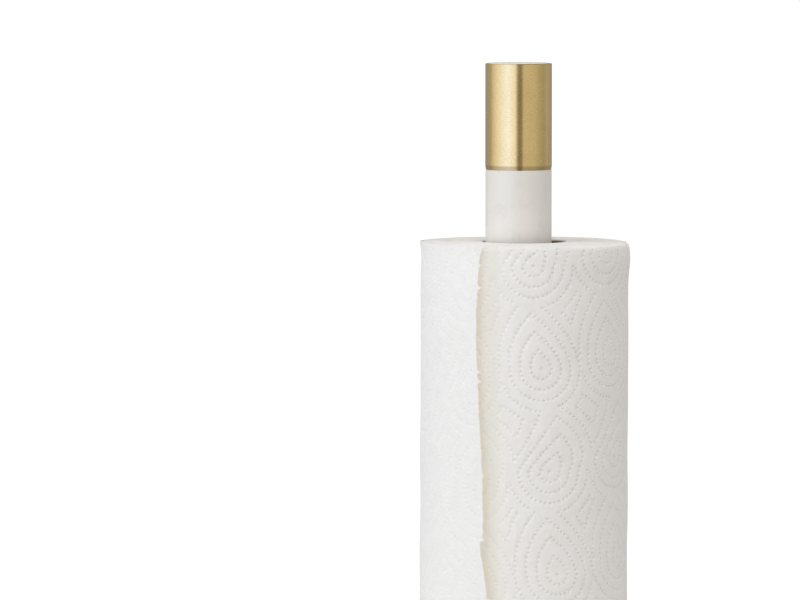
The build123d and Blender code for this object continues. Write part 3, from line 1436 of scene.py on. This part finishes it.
    def _end_faces(self, rim: list[int], at_core: np.ndarray, first: int) -> list[tuple[int, ...]]:
        """Numbers the faces of one end. Each row ends where the row after next starts, a layer farther in.

        Args:
            rim: The wall's points at that end.
            at_core: Which points of each row lie at the core, where the paper stops.
            first: The number of the first point inside the rim.

        Returns:
            The faces, without those that lie wholly at the core.
        """
        rows, columns = len(at_core), self.stations
        ids = np.empty((rows, columns + 1), int)
        ids[0] = rim
        ids[1:, :columns] = first + np.arange((rows - 1) * columns).reshape(-1, columns)
        ids[1:-2, columns] = ids[3:, 0]
        gone = at_core.copy()
        gone[:-2, columns] = at_core[2:, 0]
        faces = []
        for i in range(rows - 3):
            for j in range(columns):
                corners = [(i, j), (i, j + 1), (i + 1, j + 1), (i + 1, j)]
                if not all(gone[corner] for corner in corners):
                    faces.append(tuple(int(ids[corner]) for corner in corners))
        faces.append((rim[0], int(ids[1, 0]), int(ids[2, 0]), rim[-1]))
        return faces

    def _bore(self) -> Patch:
        """Builds the roll's inner wall, against its core.

        Returns:
            The wall's patch.
        """
        w = self.winding
        n = self.stations
        angle = w.angle(self.station_turns[:-1])
        x, y = w.centre_x + self.core_radius * np.cos(angle), self.core_radius * np.sin(angle)
        rings = [np.column_stack([x, y, np.full(n, level)]) for level in (w.foot, w.foot + w.height)]
        faces = [(j, (j + 1) % n, n + (j + 1) % n, n + j) for j in range(n)]
        points = np.vstack(rings)
        web = np.column_stack([np.tile(angle, 2) * self.core_radius, points[:, 2], np.zeros(2 * n)])
        return Patch(points, faces, web)


@dataclass(frozen=True)
class CorePly:
    """One ply of the roll's cardboard tube, wound as a strip with an open helical seam."""

    name: str
    node: str
    seam_turn: float
    seed: int
    seam_width: float = 0.5
    seam_depth: float = 0.16
    strip_lead: float = 90.0
    stations: int = 120
    level_pitch: float = 4.0
    crush: float = 0.036
    crush_length: float = 17.0

    def build(self, box: Span, inner: float, outer: float, board: bpy.types.Material) -> bpy.types.Object:
        """Builds the ply.

        Args:
            box: Its place in the frame.
            inner: Inner radius.
            outer: Outer radius.
            board: Its material.

        Returns:
            The ply, in place.
        """
        seam = self.seam_width / inner
        regular = np.linspace(0.0, TURN, self.stations, endpoint=False)[2:-1]
        angles = np.concatenate([[-seam, -seam / 2, 0.0, seam / 2, seam], regular])
        groove = np.concatenate([[0.0, 1.0, 1.0, 1.0, 0.0], np.zeros(len(regular))])
        foot, top = box.low.z, box.high.z
        levels = np.linspace(foot, top, round((top - foot) / self.level_pitch) + 1)
        uneven = Drift(self.seed)
        rings = []
        for start, cut in ((inner, self.seam_depth), (outer, 0.0)):
            for level in levels:
                turned = angles + self.seam_turn + TURN * (level - foot) / self.strip_lead
                crushed = self.crush * uneven(level / self.crush_length + 3 * np.sin(turned))
                r = start + cut * groove + crushed
                x, y = box.middle_x + r * np.cos(turned), r * np.sin(turned)
                rings.append(np.column_stack([x, y, np.full(len(r), level)]))
        n, rows = len(angles), len(levels)
        order = list(range(rows)) + list(range(2 * rows - 1, rows - 1, -1))
        faces = []
        for a, b in zip(order, order[1:] + order[:1], strict=True):
            faces += [(a * n + j, a * n + (j + 1) % n, b * n + (j + 1) % n, b * n + j) for j in range(n)]
        points = np.vstack(rings)
        patch = Patch(points, faces, np.zeros_like(points))
        return make_piece(self.name, patch, board, Shading.CREASED)


@dataclass(frozen=True)
class RollCore:
    """The kitchen roll's cardboard core, of two plies. Sizes are in millimetres."""

    wall: float = 0.45
    clearance: float = 0.01
    plies: tuple[CorePly, ...] = (
        CorePly("core_inner", "core_inner_ply", seam_turn=4.1, seed=72),
        CorePly("core_outer", "core_outer_ply", seam_turn=1.2, seed=43),
    )

    def build(self) -> None:
        """Builds both plies where the frame has them."""
        first = span(self.plies[0].node)
        board = CoreBoard(first.middle_x * MM, first.radius * MM).material()
        for i, ply in enumerate(self.plies):
            inner = first.radius + (i - 1) * self.wall
            piece = ply.build(span(ply.node), inner, inner + self.wall - self.clearance, board)
            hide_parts(ply.node)
            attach(piece, "roll_core")
            LOG.info("%s: %d faces", piece.name, len(piece.data.polygons))


# The holder


@dataclass(frozen=True)
class MarbleStand:
    """The turned pieces and the hidden hardware, whose shapes come with the frame."""

    lip_height: float = 2.8
    stone: tuple[str, ...] = ("base_disc", "marble_post", "cap_inlay")
    steel: tuple[str, ...] = (
        "tie_rod", "cap_washer", "cap_spring_washer", "cap_nut",
        "base_washer", "base_spring_washer", "base_nut",
    )

    def build(self) -> None:
        """Gives each frame node its finish."""
        cap = span("brass_cap")
        brass = BrushedBrass(cap.radius * MM, (cap.low.z + self.lip_height) * MM)
        dress: tuple[tuple[Finish, tuple[str, ...]], ...] = (
            (Marble(), self.stone),
            (brass, ("brass_cap",)),
            (Felt(), ("felt_pad",)),
            (ZincSteel(), self.steel),
            (Nylon(), ("foot_bush", "cap_bush")),
            (FoamRubber(), ("foot_gasket", "inlay_pad")),
        )
        for finish, nodes in dress:
            material = finish.material()
            for node in nodes:
                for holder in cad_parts[node].material_slots:
                    holder.material = material
                LOG.info("%s: %s", node, finish.name)


# The studio


@dataclass(frozen=True)
class SoftBox:
    """A rectangular lamp that faces the holder. Its image in polished surfaces comes from the room."""

    name: str
    azimuth: float
    elevation: float
    distance: float
    size: tuple[float, float]
    radiance: float
    colour: Colour = (1.0, 1.0, 1.0)

    def build(self, target: Vector) -> None:
        """Hangs the lamp.

        Args:
            target: The point it faces, in metres.
        """
        lamp = bpy.data.lights.new(self.name, "AREA")
        lamp.shape = "RECTANGLE"
        lamp.size, lamp.size_y = self.size
        lamp.energy = self.radiance * math.pi * self.size[0] * self.size[1]
        lamp.color = self.colour
        made = bpy.data.objects.new(self.name, lamp)
        a, e = math.radians(self.azimuth), math.radians(self.elevation)
        away = Vector((math.sin(a) * math.cos(e), -math.cos(a) * math.cos(e), math.sin(e)))
        made.location = target + away * self.distance
        made.rotation_mode = "QUATERNION"
        made.rotation_quaternion = away.to_track_quat("Z", "Y")
        made.visible_camera = False
        made.visible_glossy = False
        bpy.context.scene.collection.objects.link(made)


@dataclass(frozen=True)
class Room:
    """What surrounds the holder: white behind it, a soft general light, and what metal mirrors.

    The mirrored room is a ring of soft boxes and dark gaps, as brightness by degrees to the right of
    the camera. It dims towards the floor and the ceiling, each by a share between two slopes.
    """

    white: float = 1.06
    light: float = 0.45
    light_colour: Colour = (1.0, 0.985, 0.96)
    floor_dimming: tuple[float, float, float] = (0.35, -0.10, -0.28)
    ceiling_dimming: tuple[float, float, float] = (0.5, 0.5, 0.8)
    peak: float = 2.8
    ring: tuple[tuple[float, Colour], ...] = (
        (-180.0, (0.33, 0.34, 0.38)),
        (-140.0, (0.42, 0.42, 0.46)),
        (-112.0, (0.52, 0.53, 0.54)),
        (-101.0, (0.80, 0.84, 0.90)),
        (-78.0, (1.04, 1.18, 1.46)),
        (-52.0, (1.23, 1.50, 2.36)),
        (-36.0, (1.31, 1.62, 2.75)),
        (-22.0, (1.21, 1.44, 2.05)),
        (-10.0, (1.18, 1.31, 1.60)),
        (-5.0, (0.28, 0.27, 0.25)),
        (11.0, (0.25, 0.23, 0.23)),
        (14.0, (0.78, 0.80, 0.76)),
        (30.0, (0.73, 0.75, 0.72)),
        (60.0, (0.67, 0.69, 0.66)),
        (72.0, (0.57, 0.58, 0.55)),
        (98.0, (0.45, 0.46, 0.44)),
        (112.0, (0.54, 0.55, 0.56)),
        (150.0, (0.38, 0.38, 0.40)),
        (180.0, (0.33, 0.34, 0.38)),
    )

    def build(self) -> None:
        """Builds the world."""
        world = bpy.data.worlds.new("room")
        bpy.context.scene.world = world
        world.use_nodes = True
        world.cycles.sampling_method = "NONE"
        s = Nodes(world.node_tree)
        x, y, z = s.parts(s.node("ShaderNodeTexCoord", output="Generated"))
        turn = x.math("ARCTAN2", x, 0 - y) / TURN + 0.5
        stops = [(a / 360 + 0.5, tuple(v / self.peak for v in c)) for a, c in self.ring]
        ring = s.node("ShaderNodeValToRGB", {"stops": stops}, {0: turn})
        strength: Value = self.peak
        for share, start, end in (self.floor_dimming, self.ceiling_dimming):
            strength = (1 - share * z.ease(start, end)) * strength
        mirrored = s.node("ShaderNodeBackground", None, {0: ring, 1: strength})
        general = s.node("ShaderNodeBackground", None, {0: self.light_colour, 1: self.light})
        behind = s.node("ShaderNodeBackground", None, {0: (1.0, 1.0, 1.0), 1: self.white})
        to_metal = s.node("ShaderNodeLightPath", output="Is Glossy Ray")
        to_eye = s.node("ShaderNodeLightPath", output="Is Camera Ray")
        lit = s.node("ShaderNodeMixShader", None, {0: to_metal, 1: general, 2: mirrored})
        seen = s.node("ShaderNodeMixShader", None, {0: to_eye, 1: lit, 2: behind})
        s.node("ShaderNodeOutputWorld", None, {"Surface": seen}, output=None)


@dataclass(frozen=True)
class Studio:
    """A white room with a large soft lamp at the camera's left and weaker ones right, behind and above."""

    target_height: float = 0.2
    floor_radius: float = 0.48
    floor_rings: int = 16
    floor_sides: int = 128
    room: Room = Room()
    lamps: tuple[SoftBox, ...] = (
        SoftBox("key_left", -57.0, 28.0, 1.3, (2.3, 1.7), 1.01, (0.972, 0.985, 1.01)),
        SoftBox("glow_left", -36.0, 28.0, 1.2, (0.55, 1.7), 0.63, (0.972, 0.985, 1.01)),
        SoftBox("fill_right", 48.0, 38.0, 1.2, (1.7, 1.6), 0.54, (1.0, 0.985, 0.955)),
        SoftBox("back", 165.0, 22.0, 1.5, (2.2, 1.6), 0.45),
        SoftBox("top", 0.0, 88.0, 1.6, (1.8, 1.8), 0.53),
    )

    def build(self) -> None:
        """Builds the world, the lamps and the floor."""
        self.room.build()
        for lamp in self.lamps:
            lamp.build(Vector((0.0, 0.0, self.target_height)))
        self._floor()
        bpy.context.scene.view_settings.view_transform = "Standard"

    def _floor(self) -> None:
        """A round floor that fades into the room at its rim."""
        rings, sides = self.floor_rings, self.floor_sides
        angle = np.linspace(0.0, TURN, sides, endpoint=False)
        circles = [np.zeros((1, 3))]
        for r in np.linspace(0.0, self.floor_radius / MM, rings + 1)[1:]:
            circles.append(np.column_stack([r * np.cos(angle), r * np.sin(angle), np.zeros(sides)]))
        faces: list[tuple[int, ...]] = [(0, 1 + j, 1 + (j + 1) % sides) for j in range(sides)]
        for i in range(rings - 1):
            a, b = 1 + i * sides, 1 + (i + 1) * sides
            faces += [(a + j, b + j, b + (j + 1) % sides, a + (j + 1) % sides) for j in range(sides)]
        points = np.vstack(circles)
        patch = Patch(points, faces, np.zeros_like(points))
        floor = make_piece("floor", patch, PaleFloor(self.floor_radius).material(), Shading.SMOOTH)


@dataclass(frozen=True)
class LongLens:
    """A distant camera, just above the roll's top, looking along +Y."""

    distance: float = 3.6
    height: float = 0.438
    aside: float = -0.0626
    aim_height: float = 0.2157
    lens: float = 307.0

    def build(self) -> None:
        """Makes the scene's camera."""
        data = bpy.data.cameras.new("long_lens")
        data.lens = self.lens
        data.sensor_width = 36.0
        data.clip_start, data.clip_end = 0.1, 50.0
        camera = bpy.data.objects.new("long_lens", data)
        camera.location = (self.aside, -self.distance, self.height)
        aim = Vector((self.aside, 0.0, self.aim_height))
        camera.rotation_mode = "QUATERNION"
        camera.rotation_quaternion = (aim - camera.location).to_track_quat("-Z", "Y")
        bpy.context.scene.collection.objects.link(camera)
        bpy.context.scene.camera = camera


LOOSE_LAYERS = 0.5
CORE_GAP = 0.06


def main() -> None:
    """Builds the holder, its roll and the studio."""
    logging.basicConfig(level=logging.INFO, format="%(name)s: %(message)s")
    LongLens().build()
    MarbleStand().build()
    RollCore().build()
    roll, sheet = span("paper_roll"), span("outer_sheet")
    winding = Winding(roll.middle_x, roll.low.z, sheet.high.z - sheet.low.z, roll.radius + LOOSE_LAYERS)
    PaperRoll(winding, span("core_outer_ply").radius + CORE_GAP).build()
    Studio().build()


if __name__ == "__main__":
    main()
